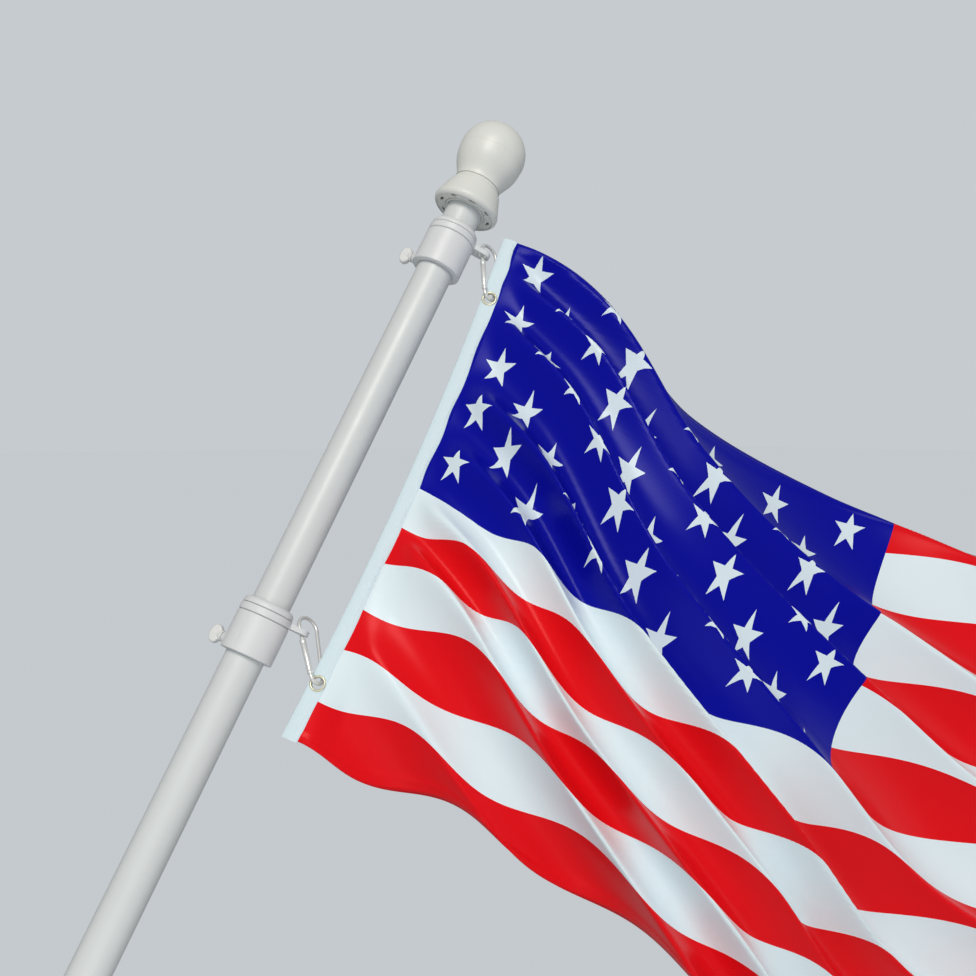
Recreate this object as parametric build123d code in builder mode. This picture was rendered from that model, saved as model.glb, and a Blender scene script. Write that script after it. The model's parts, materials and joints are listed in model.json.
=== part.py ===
from build123d import *
from math import atan2, cos, exp, pi, radians, sin, sqrt, tan
import os

# House flagpole kit: a sectional tube in a wall bracket, a ball finial, two
# anti-wrap rings with spring snaps, and a flag hooked to the rings.
# Millimetres. X points out of the wall, Z up, Y along the wall. The origin is on
# the bracket's back face, in the middle of its three screw holes.

# Pole
pole_angle = 60.0  # above the horizontal
tube_d = 25.4
tube_wall = 1.0
section_count = 4
section_length = 400.0  # what shows of each section
swage_length = 45.0  # the narrowed foot that plugs into the section below
swage_gap = 0.15  # between a foot and the tube round it
swage_shoulder = 3.0  # length of the taper between a section's tube and its foot

# Wall bracket
plate_thickness = 6.0
plate_round = 1.5
screw_circle_d = 72.0
screw_count = 3
screw_hole_d = 5.5
countersink_d = 10.5
lobe_r = 12.5
hub_distance = 32.0  # from the wall to where the socket axes cross
hub_r = 19.0
hub_foot_r = 23.0
socket_wall = 4.0
socket_gap = 0.3
socket_floor = 21.0  # from the hub's centre to the bottom of each bore
socket_depth = 62.0
spare_depth = 42.0
socket_lip_height = 7.0
socket_lip_wall = 1.8
rib_thickness = 6.0
rib_reach = 0.45  # of the socket's depth
boss_taper = 18.0
drain_d = 5.0

# Thumbscrews
screw_d = 5.0
screw_gap = 0.15
knob_width = 12.2
knob_length = 8.6
knob_thickness = 4.6
boss_base_d = 11.6
boss_top_d = 7.6
boss_height = 4.6
tip_gap = 0.3
socket_screw_drop = 22.0  # below a socket's mouth
socket_screw_reach = 26.0
knob_round = 1.4
knob_neck_d = 7.0
knob_collar = 1.2

# Finial
finial_cover = 17.0  # how far the finial's socket goes down over the tube
ball_d = 47.6
ball_height = 49.6  # ball centre above the rim
base_rim_d = 47.2
base_neck_d = 33.0
base_height = 22.5
base_wall = 2.2
base_shoulder = (18.7, 18.6)  # radius and height of the step under the neck
base_waist = (21.1, 11.5)
base_belly = 4.5  # height of the widest point
finial_socket_wall = 1.8
finial_gap = 0.2
finial_rib_count = 8
finial_rib_thickness = 1.6
finial_rib_foot = 1.5  # from the rim's plane up to the ribs
spigot_d = 20.0
spigot_length = 9.0
spigot_gap = 0.1
ball_neck_d = 31.6
neck_flare = 0.7
neck_flare_height = 2.5

# Anti-wrap rings
ring_d = 34.6
ring_gap = 0.15  # between a sleeve and the tube
sleeve_height = 25.6
swivel_height = 5.0
swivel_gap = 0.3
cap_height = 4.6
cap_edge = 1.5  # height of the cap's straight edge, under its dome
cap_step = 0.5  # the cap is this much smaller in radius than the sleeve
cap_dome = 0.8
cap_gap = 0.1
edge_round = 0.5
neck_wall = 1.7
neck_rabbet = 0.6
ring_spacing = 290.0
upper_ring_drop = 49.5  # from the finial's rim down to the upper ring's bottom edge
ring_screw_height = 6.0
ring_screw_turn = 122.0  # round the pole, from its underside
ring_screw_reach = 30.8  # from the pole's axis to the knob's end
ring_boss_taper = 24.0
ear_turn = -22.0
ear_width = 11.0
ear_thickness = 3.4
ear_hole_at = 24.5
ear_hole_d = 7.4

# Spring snaps
snap_wire_d = 2.4
snap_length = 36.0  # from the ear's hole to the eyelet
snap_foot_r = 5.0  # the small bend, through the eyelet
snap_taper = 4.5  # each leg leans out by this from the small bend to the large one
snap_twist = 36.0
snap_over_ear = 1.5  # straight wire between the ear's top face and the large bend
snap_reach_top = 19.0  # from the upper ear out to its eyelet
snap_reach_foot = 25.5
gate_below_ear = 7.0
gate_above_foot = 2.0
gate_wire_d = 3.0
gate_gap = 0.3
gate_nose_d = 2.0
gate_nose = 1.4

# Flag
fly = 830.0
header_width = 11.5
header_thickness = 1.6
header_bow = 4.0  # the heading tape is drawn out by this between its eyelets
seam_gap = 0.3
eye_from_edge = 5.75
eye_from_top = 47.5
eye_from_foot = 38.0
eyelet_hole_d = 7.6
eyelet_d = 10.8
eyelet_wall = 0.7
eyelet_lip = 0.6
eyelet_gap = 0.1
cloth_thickness = 2.0
# Lines that the cloth follows: per distance down the hoist, points of (distance
# along the fly, out, down, towards the front)
cloth_lines = {
    0.0: (
        (0, -3, 0, 0), (80, 80, 14, -15), (180, 162, 54, -62), (300, 264, 78, -108),
        (450, 414, 60, -122), (640, 584, 60, -170), (830, 748, 63, -230),
    ),
    199.0: (
        (0, 4, 199, 0), (80, 81, 200, 12), (180, 175, 238, 12), (300, 280, 257, -28),
        (450, 394, 260, -114), (640, 572, 234, -178), (830, 754, 217, -250),
    ),
    370.0: (
        (0, -2, 370, 0), (80, 73, 372, -24), (180, 171, 380, -52), (300, 286, 412, -76),
        (450, 404, 436, -140), (640, 578, 386, -200), (830, 754, 350, -262),
    ),
}
# Ridges of the folds: distance down the cloth at the hoist, at mid fly and at the
# fly's end, and height
cloth_ridges = (
    (-260, -180, -90, 8), (-205, -120, -30, 8), (-150, -60, 45, 8), (-95, 5, 108, 7),
    (-8, 88, 165, 9), (20, 137, 240, 8), (50, 208, 310, 8), (109, 261, 380, 12),
    (150, 297, 430, 6), (193, 342, 480, 9), (222, 388, 560, 11), (290, 460, 620, 8),
    (360, 540, 700, 8), (430, 610, 770, 8),
)
mid_fly = 350.0
fold_sharpness = 0.08
fold_lean = 0.5
fold_growth = 60.0  # distance from the hoist over which the folds rise
cloth_start = 12.6  # along the fly, beside the heading tape
cloth_samples = (56, 62)

tube_r = tube_d / 2
pole_length = section_count * section_length
ring_r = ring_d / 2
tube_foot = socket_floor + tip_gap
tube_top = tube_foot + pole_length
rim_at = tube_top - finial_cover
upper_ring_at = rim_at - upper_ring_drop
lower_ring_at = upper_ring_at - ring_spacing

hub = Vector(hub_distance, 0, 0)
along = Vector(cos(radians(pole_angle)), 0, sin(radians(pole_angle)))
under = Vector(sin(radians(pole_angle)), 0, -cos(radians(pole_angle)))
side = Vector(0, 1, 0)
spare_along = under

os.makedirs("parts", exist_ok=True)


def radial(turn):
    """Direction out of the pole, turned from its underside."""
    return under * cos(radians(turn)) + side * sin(radians(turn))


def pole_plane(at, turn=0.0):
    """Plane square to the pole, its x direction turned from the underside."""
    return Plane(origin=hub + along * at, x_dir=radial(turn), z_dir=along)


def profile_plane(at, turn=90.0):
    """Plane holding the pole's axis: x out of the pole, y along it."""
    return Plane(origin=hub + along * at, x_dir=radial(turn), z_dir=radial(turn - 90.0))


def save(part, name):
    part.label = name
    export_step(part, f"parts/{name}.step")


def thumbscrew(name, seat, reach):
    """Screw along the seat plane's z, from its tip to the knob's outer end."""
    knob_foot = reach - knob_length
    with BuildPart() as screw:
        with BuildSketch(seat):
            Circle(screw_d / 2)
        extrude(amount=reach - knob_length / 2)
        with BuildSketch(Plane(origin=seat.origin, x_dir=seat.x_dir, z_dir=-seat.y_dir)):
            with BuildLine():
                Polyline(
                    (0, knob_foot - knob_collar),
                    (knob_neck_d / 2, knob_foot - knob_collar),
                    (knob_neck_d / 2, knob_foot),
                    (screw_d / 2, knob_foot + 2 * knob_collar),
                    (0, knob_foot + 2 * knob_collar),
                    close=True,
                )
            make_face()
        revolve(axis=Axis(seat.origin, seat.z_dir))
        knob_at = seat.origin + seat.z_dir * (reach - knob_length / 2)
        with BuildSketch(Plane(origin=knob_at, x_dir=seat.x_dir, z_dir=seat.y_dir)):
            Ellipse(knob_width / 2, knob_length / 2)
        extrude(amount=knob_thickness / 2, both=True)
        fillet(screw.edges().filter_by(GeomType.ELLIPSE), knob_round)
    save(screw.part, name)


# Wall bracket: one casting
main_socket = Plane(origin=hub, x_dir=under, z_dir=along)
spare_socket = Plane(origin=hub, x_dir=along, z_dir=spare_along)
socket_r = tube_r + socket_gap + socket_wall
wall_plane = Plane(origin=(0, 0, 0), x_dir=(0, 1, 0), z_dir=(1, 0, 0))
screw_turn = -90.0

with BuildPart() as bracket:
    with BuildSketch(wall_plane):
        with PolarLocations(screw_circle_d / 2, screw_count, start_angle=screw_turn):
            Circle(lobe_r)
        make_hull()
    extrude(amount=plate_thickness)
    fillet(bracket.faces().sort_by(Axis.X)[-1].edges(), 1.5)
    with BuildSketch(wall_plane.offset(plate_thickness)):
        Circle(hub_r)
    extrude(amount=hub_distance - plate_thickness)
    for plane, depth in ((main_socket, socket_depth), (spare_socket, spare_depth)):
        with BuildSketch(plane):
            Circle(socket_r)
        extrude(amount=socket_floor + depth)
        with BuildSketch(plane.offset(socket_floor + depth - socket_lip_height)):
            Circle(socket_r + socket_lip_wall)
        extrude(amount=socket_lip_height)
    with Locations(Location(hub)):
        Sphere(hub_r)
    rib_foot = screw_circle_d / 4 + lobe_r
    rib_top = hub + along * (socket_floor + 0.45 * socket_depth)
    with BuildSketch(Plane.XZ):
        with BuildLine():
            Polyline(
                (plate_thickness - 1, rib_foot),
                (plate_thickness - 1, 0),
                (hub.X, 0),
                (rib_top.X, rib_top.Z),
                close=True,
            )
        make_face()
    extrude(amount=rib_thickness / 2, both=True)
    for plane, depth in ((main_socket, socket_depth), (spare_socket, spare_depth)):
        with BuildSketch(plane.offset(socket_floor)):
            Circle(tube_r + socket_gap)
        extrude(amount=depth, mode=Mode.SUBTRACT)
        mouth = socket_floor + depth - socket_screw_drop
        boss_plane = Plane(
            origin=plane.origin + plane.z_dir * mouth, x_dir=plane.z_dir, z_dir=side
        )
        with BuildSketch(boss_plane.offset(tube_r + socket_gap + 1)):
            Circle(boss_base_d / 2)
        extrude(amount=socket_wall + boss_height - 1, taper=18)
        with BuildSketch(boss_plane):
            Circle(screw_d / 2 + screw_gap)
        extrude(amount=socket_r + 3 * boss_height, mode=Mode.SUBTRACT)
    with Locations(wall_plane.offset(plate_thickness)):
        with PolarLocations(screw_circle_d / 2, screw_count, start_angle=screw_turn):
            CounterSinkHole(screw_hole_d / 2, countersink_d / 2)
save(bracket.part, "bracket")

for name, plane, depth in (
    ("bracket_thumbscrew", main_socket, socket_depth),
    ("spare_thumbscrew", spare_socket, spare_depth),
):
    screw_at = plane.origin + plane.z_dir * (socket_floor + depth - socket_screw_drop)
    seat = Plane(origin=screw_at + side * (tube_r + tip_gap), x_dir=plane.z_dir, z_dir=side)
    thumbscrew(name, seat, socket_screw_reach)

# Pole sections: each has a narrowed foot that plugs into the one below
tube_bore_r = tube_r - tube_wall
foot_r = tube_bore_r - swage_gap
for number in range(section_count):
    foot = 0.0 if number == 0 else swage_length
    with BuildPart() as section:
        with BuildSketch(profile_plane(tube_foot + number * section_length)):
            with BuildLine():
                if number == 0:
                    Polyline(
                        (tube_bore_r, 0), (tube_r, 0), (tube_r, section_length),
                        (tube_bore_r, section_length), close=True,
                    )
                else:
                    Polyline(
                        (foot_r - tube_wall, -foot), (foot_r, -foot), (foot_r, 0), (tube_r, 0),
                        (tube_r, section_length), (tube_bore_r, section_length),
                        (tube_bore_r, swage_shoulder),
                        (foot_r - tube_wall, swage_shoulder - swage_gap - tube_wall),
                        close=True,
                    )
            make_face()
        revolve(axis=Axis(hub, along))
    save(section.part, f"pole_section_{number + 1}")

# Finial: a hollow ribbed base on the tube and a ball plugged into it
base_rim_r = base_rim_d / 2
base_neck_r = base_neck_d / 2
ball_r = ball_d / 2
ball_neck_r = ball_neck_d / 2
socket_bore_r = tube_r + finial_gap
socket_wall_r = socket_bore_r + finial_socket_wall
spigot_r = spigot_d / 2
spigot_bore_r = spigot_r + finial_gap
shoulder_r, shoulder_at = base_shoulder
waist_r, waist_at = base_waist
inner_rim_r = base_rim_r - base_wall
roof = shoulder_at - base_wall / 3

with BuildPart() as finial_base:
    with BuildSketch(profile_plane(rim_at)):
        with BuildLine():
            ThreePointArc(
                (base_neck_r, base_height),
                ((base_neck_r + shoulder_r) / 2 - base_wall / 4, (base_height + shoulder_at) / 2),
                (shoulder_r, shoulder_at),
            )
            Spline((shoulder_r, shoulder_at), (waist_r, waist_at), (base_rim_r, base_belly))
            ThreePointArc(
                (base_rim_r, base_belly),
                (base_rim_r - base_wall / 3, base_wall / 2),
                (inner_rim_r, 0),
            )
            Polyline(
                (inner_rim_r, 0),
                (inner_rim_r - base_wall / 4, base_belly),
                (waist_r - base_wall, waist_at),
                (shoulder_r - base_wall, roof),
                (socket_wall_r, roof),
                (socket_wall_r, finial_rib_foot / 2),
                (socket_bore_r, finial_rib_foot / 2),
                (socket_bore_r, finial_cover + tip_gap),
                (spigot_bore_r, finial_cover + tip_gap),
                (spigot_bore_r, base_height),
                (base_neck_r, base_height),
            )
        make_face()
    revolve(axis=Axis(hub, along))
    for number in range(finial_rib_count):
        with BuildSketch(profile_plane(rim_at, 360.0 / finial_rib_count * number)):
            with BuildLine():
                Polyline(
                    (socket_wall_r - base_wall / 4, finial_rib_foot),
                    (inner_rim_r, finial_rib_foot),
                    (inner_rim_r, base_belly),
                    (waist_r - base_wall / 2, waist_at),
                    (shoulder_r - base_wall / 2, roof),
                    (socket_wall_r - base_wall / 4, roof),
                    close=True,
                )
            make_face()
        extrude(amount=finial_rib_thickness / 2, both=True)
save(finial_base.part, "finial_base")

ball_foot = ball_height - sqrt(ball_r**2 - ball_neck_r**2)
ball_seat = base_height + spigot_gap
with BuildPart() as finial_ball:
    with BuildSketch(profile_plane(rim_at)):
        with BuildLine():
            Polyline(
                (0, base_height - spigot_length + finial_gap),
                (spigot_r, base_height - spigot_length + finial_gap),
                (spigot_r, ball_seat),
                (ball_neck_r + neck_flare, ball_seat),
            )
            ThreePointArc(
                (ball_neck_r + neck_flare, ball_seat),
                (ball_neck_r + neck_flare / 5, ball_seat + neck_flare_height / 2),
                (ball_neck_r, ball_seat + neck_flare_height),
            )
            Line((ball_neck_r, ball_seat + neck_flare_height), (ball_neck_r, ball_foot))
            ThreePointArc(
                (ball_neck_r, ball_foot),
                (ball_r, ball_height),
                (0, ball_height + ball_r),
            )
            Line((0, ball_height + ball_r), (0, base_height - spigot_length + finial_gap))
        make_face()
    revolve(axis=Axis(hub, along))
save(finial_ball.part, "finial_ball")

# Anti-wrap rings: a clamped sleeve with a neck, a swivel ring on the neck, a cap
neck_at = sleeve_height
cap_at = neck_at + swivel_height + 2 * swivel_gap
ring_height = cap_at + cap_height
sleeve_bore_r = tube_r + ring_gap
neck_out_r = sleeve_bore_r + neck_wall
swivel_bore_r = neck_out_r + cap_gap
rabbet_r = neck_out_r - neck_rabbet
cap_mouth_r = tube_r + 4 * cap_gap
ear_middle = neck_at + swivel_gap + swivel_height / 2


# Flag: it hangs from the two ears by the snaps, and its fly blows out and down
out_fly = (under * 0.62 - side * 0.73 - along * 0.27).normalized()
fly_level = (out_fly - along * out_fly.dot(along)).normalized()


def ear_hole(ring_at):
    return pole_plane(ring_at + ear_middle, ear_turn).origin + radial(ear_turn) * ear_hole_at


upper_hole = ear_hole(upper_ring_at)
lower_hole = ear_hole(lower_ring_at)
upper_eye = upper_hole + fly_level * snap_reach_top - along * sqrt(snap_length**2 - snap_reach_top**2)
lower_eye = lower_hole + fly_level * snap_reach_foot - along * sqrt(snap_length**2 - snap_reach_foot**2)
down_hoist = (lower_eye - upper_eye).normalized()
header_out = (fly_level - down_hoist * fly_level.dot(down_hoist)).normalized()
ripple = header_out.cross(-down_hoist)
flag_top = upper_eye - header_out * eye_from_edge - down_hoist * eye_from_top
eye_spacing = (lower_eye - upper_eye).length
hoist = eye_from_top + eye_spacing + eye_from_foot


# A snap is a pear of wire in its own plane: its small bend stands on the eyelet at
# the origin, and its gated leg rises through the ear's hole
taper_cos = cos(radians(snap_taper))
taper_sin = sin(radians(snap_taper))
leg_foot = (-snap_foot_r * taper_cos, snap_foot_r * (1 - taper_sin))
leg_to_ear = (
    sqrt(snap_length**2 - snap_foot_r**2 * (2 * (1 - taper_sin) - taper_cos**2)) - snap_foot_r * taper_cos
)
leg_length = leg_to_ear + ear_thickness / 2 + snap_over_ear
snap_head_r = snap_foot_r + leg_length * tan(radians(snap_taper))
snap_head_at = snap_foot_r + leg_length / taper_cos + (snap_head_r - snap_foot_r) * taper_sin


def leg_point(rise):
    """Point on the gated leg, that far up from the small bend."""
    return (leg_foot[0] - rise * taper_sin, leg_foot[1] + rise * taper_cos)


def snap_plane(ear, eye):
    """A snap's plane: origin at the eyelet, y towards its large bend."""
    line = (ear - eye).normalized()
    twist = radians(snap_twist)
    across = header_out * sin(twist) - ripple * cos(twist)
    across = (across - line * across.dot(line)).normalized()
    ear_x, ear_y = leg_point(leg_to_ear)
    lean = atan2(-ear_x, ear_y)
    up = line * cos(lean) + across * sin(lean)
    across = across * cos(lean) - line * sin(lean)
    return Plane(origin=eye, x_dir=across, z_dir=across.cross(up))


for level, at, ear, eye in (
    ("upper", upper_ring_at, upper_hole, upper_eye),
    ("lower", lower_ring_at, lower_hole, lower_eye),
):
    with BuildPart() as sleeve:
        with BuildSketch(profile_plane(at)):
            with BuildLine():
                Polyline(
                    (sleeve_bore_r, 0),
                    (ring_r - edge_round, 0),
                    (ring_r, edge_round),
                    (ring_r, neck_at - edge_round),
                    (ring_r - edge_round, neck_at),
                    (neck_out_r, neck_at),
                    (neck_out_r, cap_at),
                    (rabbet_r, cap_at + neck_rabbet),
                    (rabbet_r, ring_height - neck_rabbet),
                    (sleeve_bore_r, ring_height - neck_rabbet),
                    close=True,
                )
            make_face()
        revolve(axis=Axis(hub, along))
        screw_seat = Plane(
            origin=hub + along * (at + ring_screw_height),
            x_dir=along,
            z_dir=radial(ring_screw_turn),
        )
        with BuildSketch(screw_seat.offset(ring_r - neck_wall)):
            Circle(boss_base_d / 2)
        extrude(amount=boss_height, taper=ring_boss_taper)
        with BuildSketch(screw_seat):
            Circle(screw_d / 2 + screw_gap)
        extrude(amount=ring_d, mode=Mode.SUBTRACT)
    save(sleeve.part, f"{level}_ring_sleeve")
    screw_tip = tube_r + tip_gap
    thumbscrew(f"{level}_ring_thumbscrew", screw_seat.offset(screw_tip), ring_screw_reach - screw_tip)

    with BuildPart() as cap:
        with BuildSketch(profile_plane(at + cap_at)):
            with BuildLine():
                ThreePointArc(
                    (ring_r - cap_step, cap_edge),
                    ((ring_r + cap_mouth_r) / 2 + cap_dome / 2, (cap_edge + cap_height) / 2 + cap_dome),
                    (cap_mouth_r, cap_height),
                )
                Polyline(
                    (cap_mouth_r, cap_height),
                    (cap_mouth_r, cap_height - neck_rabbet + cap_gap),
                    (rabbet_r + cap_gap, cap_height - neck_rabbet + cap_gap),
                    (rabbet_r + cap_gap, neck_rabbet + cap_gap),
                    (neck_out_r + cap_gap, cap_gap),
                    (neck_out_r + cap_gap, 0),
                    (ring_r - cap_step, 0),
                    (ring_r - cap_step, cap_edge),
                )
            make_face()
        revolve(axis=Axis(hub, along))
    save(cap.part, f"{level}_ring_cap")

    ring_plane = pole_plane(at + neck_at + swivel_gap, ear_turn)
    with BuildPart() as swivel:
        with BuildSketch(ring_plane):
            Circle(ring_r)
        extrude(amount=swivel_height)
        chamfer(swivel.edges(), edge_round)
        with BuildSketch(ring_plane.offset((swivel_height - ear_thickness) / 2)):
            with BuildLine():
                Line((0, -ear_width / 2), (ear_hole_at, -ear_width / 2))
                ThreePointArc(
                    (ear_hole_at, -ear_width / 2),
                    (ear_hole_at + ear_width / 2, 0),
                    (ear_hole_at, ear_width / 2),
                )
                Polyline((ear_hole_at, ear_width / 2), (0, ear_width / 2), (0, -ear_width / 2))
            make_face()
            with Locations((ear_hole_at, 0)):
                Circle(ear_hole_d / 2, mode=Mode.SUBTRACT)
        extrude(amount=ear_thickness)
        with BuildSketch(ring_plane):
            Circle(swivel_bore_r)
        extrude(amount=swivel_height, mode=Mode.SUBTRACT)
    save(swivel.part, f"{level}_swivel_ring")

    # Spring snap: a bent wire through the ear and the eye, closed by a gate
    frame = snap_plane(ear, eye)
    hinge_at = leg_to_ear - gate_below_ear
    with BuildPart() as snap:
        with BuildLine(frame) as wire_path:
            gate_side = Line(leg_point(hinge_at), leg_point(leg_length))
            head = ThreePointArc(
                leg_point(leg_length),
                (0, snap_head_at + snap_head_r),
                (-leg_point(leg_length)[0], leg_point(leg_length)[1]),
            )
            Line(head @ 1, (-leg_foot[0], leg_foot[1]))
            ThreePointArc((-leg_foot[0], leg_foot[1]), (0, 0), leg_foot)
            Line(leg_foot, leg_point(gate_above_foot))
        wire = wire_path.wires()[0]
        with BuildSketch(Plane(origin=wire @ 0, z_dir=wire % 0)):
            Circle(snap_wire_d / 2)
        sweep()
    save(snap.part, f"{level}_snap")

    gate_foot = frame.from_local_coords(leg_point(gate_above_foot + gate_gap))
    gate_head = frame.from_local_coords(leg_point(hinge_at - gate_gap))
    gate_plane = Plane(origin=gate_foot, z_dir=gate_head - gate_foot)
    gate_length = (gate_head - gate_foot).length
    with BuildPart() as gate:
        with BuildSketch(gate_plane):
            Circle(gate_nose_d / 2)
        extrude(amount=gate_length)
        with BuildSketch(gate_plane.offset(gate_nose)):
            Circle(gate_wire_d / 2)
        extrude(amount=gate_length - 2 * gate_nose)
    save(gate.part, f"{level}_snap_gate")

    eye_plane = Plane(origin=eye, x_dir=header_out, z_dir=ripple)
    with BuildPart() as grommet:
        for low in (header_thickness / 2, -header_thickness / 2 - eyelet_lip):
            with BuildSketch(eye_plane.offset(low)):
                Circle(eyelet_d / 2)
            extrude(amount=eyelet_lip)
        with BuildSketch(eye_plane.offset(-header_thickness / 2 - eyelet_lip)):
            Circle(eyelet_hole_d / 2 + eyelet_wall)
        extrude(amount=header_thickness + 2 * eyelet_lip)
        with BuildSketch(eye_plane.offset(-header_thickness / 2 - eyelet_lip)):
            Circle(eyelet_hole_d / 2)
        extrude(amount=header_thickness + 2 * eyelet_lip, mode=Mode.SUBTRACT)
    save(grommet.part, f"{level}_grommet")

header_plane = Plane(origin=flag_top - ripple * header_thickness / 2, x_dir=header_out, z_dir=ripple)
bow_middle = (eye_from_top + hoist - eye_from_foot) / 2


def tape_edge(down):
    """How far out the heading tape's edge lies, that far down the hoist."""
    return header_bow * (1 - ((down - bow_middle) / (eye_spacing / 2)) ** 2)


with BuildPart() as header:
    with BuildSketch(header_plane):
        with BuildLine():
            stations = [hoist * step / 4 for step in range(5)]
            edges = [
                Spline(*[(tape_edge(down) + wide, -down) for down in stations])
                for wide in (0, header_width)
            ]
            Line(edges[0] @ 0, edges[1] @ 0)
            Line(edges[0] @ 1, edges[1] @ 1)
        make_face()
    extrude(amount=header_thickness)
    for hole_at in (upper_eye, lower_eye):
        with BuildSketch(Plane(origin=hole_at - ripple * header_thickness, x_dir=header_out, z_dir=ripple)):
            Circle(eyelet_hole_d / 2 + eyelet_wall + eyelet_gap)
        extrude(amount=2 * header_thickness, mode=Mode.SUBTRACT)
save(header.part, "flag_header")


def line_at(along_fly, points):
    """Point on a smooth line whose points start with their distance along the fly."""
    k = max(i for i in range(len(points) - 1) if points[i][0] <= along_fly)
    stations = [point[0] for point in points]

    def slope(i, axis):
        a, b = max(i - 1, 0), min(i, len(points) - 2)
        before = (points[a + 1][axis] - points[a][axis]) / (stations[a + 1] - stations[a])
        after = (points[b + 1][axis] - points[b][axis]) / (stations[b + 1] - stations[b])
        share = (stations[i] - stations[a]) / (stations[b + 1] - stations[a])
        return after * share + before * (1 - share)

    gap = stations[k + 1] - stations[k]
    x = (along_fly - stations[k]) / gap
    return Vector(
        *[
            (2 * x**3 - 3 * x**2 + 1) * points[k][axis]
            + (x**3 - 2 * x**2 + x) * gap * slope(k, axis)
            + (3 * x**2 - 2 * x**3) * points[k + 1][axis]
            + (x**3 - x**2) * gap * slope(k + 1, axis)
            for axis in (1, 2, 3)
        ]
    )


def through_three(at, places, values):
    """Value at a place, on the parabola through three places' values."""
    a, b, c = places
    return (
        values[0] * ((at - b) * (at - c) / ((a - b) * (a - c)))
        + values[1] * ((at - a) * (at - c) / ((b - a) * (b - c)))
        + values[2] * ((at - a) * (at - b) / ((c - a) * (c - b)))
    )


def cloth_at(along_fly, down):
    """Point of the folded cloth as (out, down, towards the front)."""
    lines = [line_at(along_fly, points) for points in cloth_lines.values()]
    ahead = [line_at(along_fly + 1, points) for points in cloth_lines.values()]
    smooth = through_three(down, list(cloth_lines), lines)
    run = through_three(down, list(cloth_lines), ahead) - smooth
    drop = (through_three(down + 1, list(cloth_lines), lines) - smooth).normalized()
    front = run.cross(drop).normalized()
    places = [through_three(along_fly, (0, mid_fly, fly), ridge[:3]) for ridge in cloth_ridges]
    k = max(i for i in range(len(places) - 1) if places[i] <= down)
    gap = places[k + 1] - places[k]
    turn = 2 * pi * (down - places[k]) / gap
    grown = 1 - exp(-along_fly / fold_growth)
    share = (1 - cos(turn / 2)) / 2
    height = cloth_ridges[k][3] * (1 - share) + cloth_ridges[k + 1][3] * share
    rise = height * grown * cos(turn)
    return smooth + front * rise - drop * (fold_lean * rise + fold_sharpness * gap * grown * sin(turn))


# Cloth: its front and back faces go through points of the folded sheet
fly_samples, hoist_samples = cloth_samples
flag_frame = Plane(origin=flag_top, x_dir=header_out, z_dir=ripple)
skins = []
for half in (cloth_thickness / 2, -cloth_thickness / 2):
    grid = []
    for i in range(fly_samples):
        along_fly = cloth_start + (fly - cloth_start) * i / (fly_samples - 1)
        row = []
        for j in range(hoist_samples):
            down = hoist * j / (hoist_samples - 1)
            point = cloth_at(along_fly, down)
            run = cloth_at(along_fly + 1, down) - point
            drop = cloth_at(along_fly, down + 1) - point
            skin = point + run.cross(drop).normalized() * half
            row.append(flag_top + header_out * skin.X + down_hoist * skin.Y + ripple * skin.Z)
        grid.append(row)
    skins.append(Face.make_surface_from_array_of_points(grid, tol=0.5, min_deg=3, max_deg=3))
rims = []
for edge in skins[0].edges():
    facing = skins[1].edges().sort_by_distance(edge @ 0.5)[0]
    rims.append(Face.make_surface_from_curves(edge, facing))
with BuildPart() as cloth:
    add(Solid(Shell(skins + rims)))
save(cloth.part, "flag_cloth")
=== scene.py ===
import json
from math import cos, pi, radians, sin

import bmesh
import bpy
import numpy as np
from mathutils import Matrix, Vector


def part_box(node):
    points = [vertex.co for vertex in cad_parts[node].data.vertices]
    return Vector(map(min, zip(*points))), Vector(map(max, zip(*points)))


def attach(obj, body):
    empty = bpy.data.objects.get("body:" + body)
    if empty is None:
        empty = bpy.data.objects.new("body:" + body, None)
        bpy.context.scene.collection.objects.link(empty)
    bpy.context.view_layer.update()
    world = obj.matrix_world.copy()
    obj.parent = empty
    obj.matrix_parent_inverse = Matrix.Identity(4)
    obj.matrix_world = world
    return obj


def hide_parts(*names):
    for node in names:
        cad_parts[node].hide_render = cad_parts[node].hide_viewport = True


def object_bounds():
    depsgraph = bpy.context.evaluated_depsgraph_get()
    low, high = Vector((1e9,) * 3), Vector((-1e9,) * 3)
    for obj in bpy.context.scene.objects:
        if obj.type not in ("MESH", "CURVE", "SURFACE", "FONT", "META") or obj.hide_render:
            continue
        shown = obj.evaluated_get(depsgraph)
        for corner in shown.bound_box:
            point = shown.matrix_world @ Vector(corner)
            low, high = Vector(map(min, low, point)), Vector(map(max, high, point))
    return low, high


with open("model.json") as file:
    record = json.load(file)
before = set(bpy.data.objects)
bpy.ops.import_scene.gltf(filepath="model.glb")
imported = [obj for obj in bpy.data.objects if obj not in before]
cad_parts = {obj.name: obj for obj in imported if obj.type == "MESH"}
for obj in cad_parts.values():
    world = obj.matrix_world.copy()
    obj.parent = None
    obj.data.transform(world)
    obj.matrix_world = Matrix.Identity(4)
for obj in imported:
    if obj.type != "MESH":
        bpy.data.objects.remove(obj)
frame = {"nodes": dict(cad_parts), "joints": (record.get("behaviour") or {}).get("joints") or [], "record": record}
nodes = frame["nodes"]
boxLow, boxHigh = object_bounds()
mm = 0.001

# The pole's own directions and places, from the rings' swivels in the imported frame
upperSwivel, lowerSwivel = (Vector(joint["pos_m"]) for joint in frame["joints"][:2])
along = Vector(frame["joints"][0]["axis"]).normalized()
side = Vector((0, 1, 0))
under = side.cross(along)
wallOut = Vector((1, 0, 0))
hub = upperSwivel - along * (upperSwivel.z / along.z)
# Heights above a ring's lower edge, mm; the finial's rim is above the upper ring's
ringHeight = {"screw": 6.0, "sleeveMiddle": 12.8, "swivel": 28.4, "finialRim": 49.5}


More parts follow.
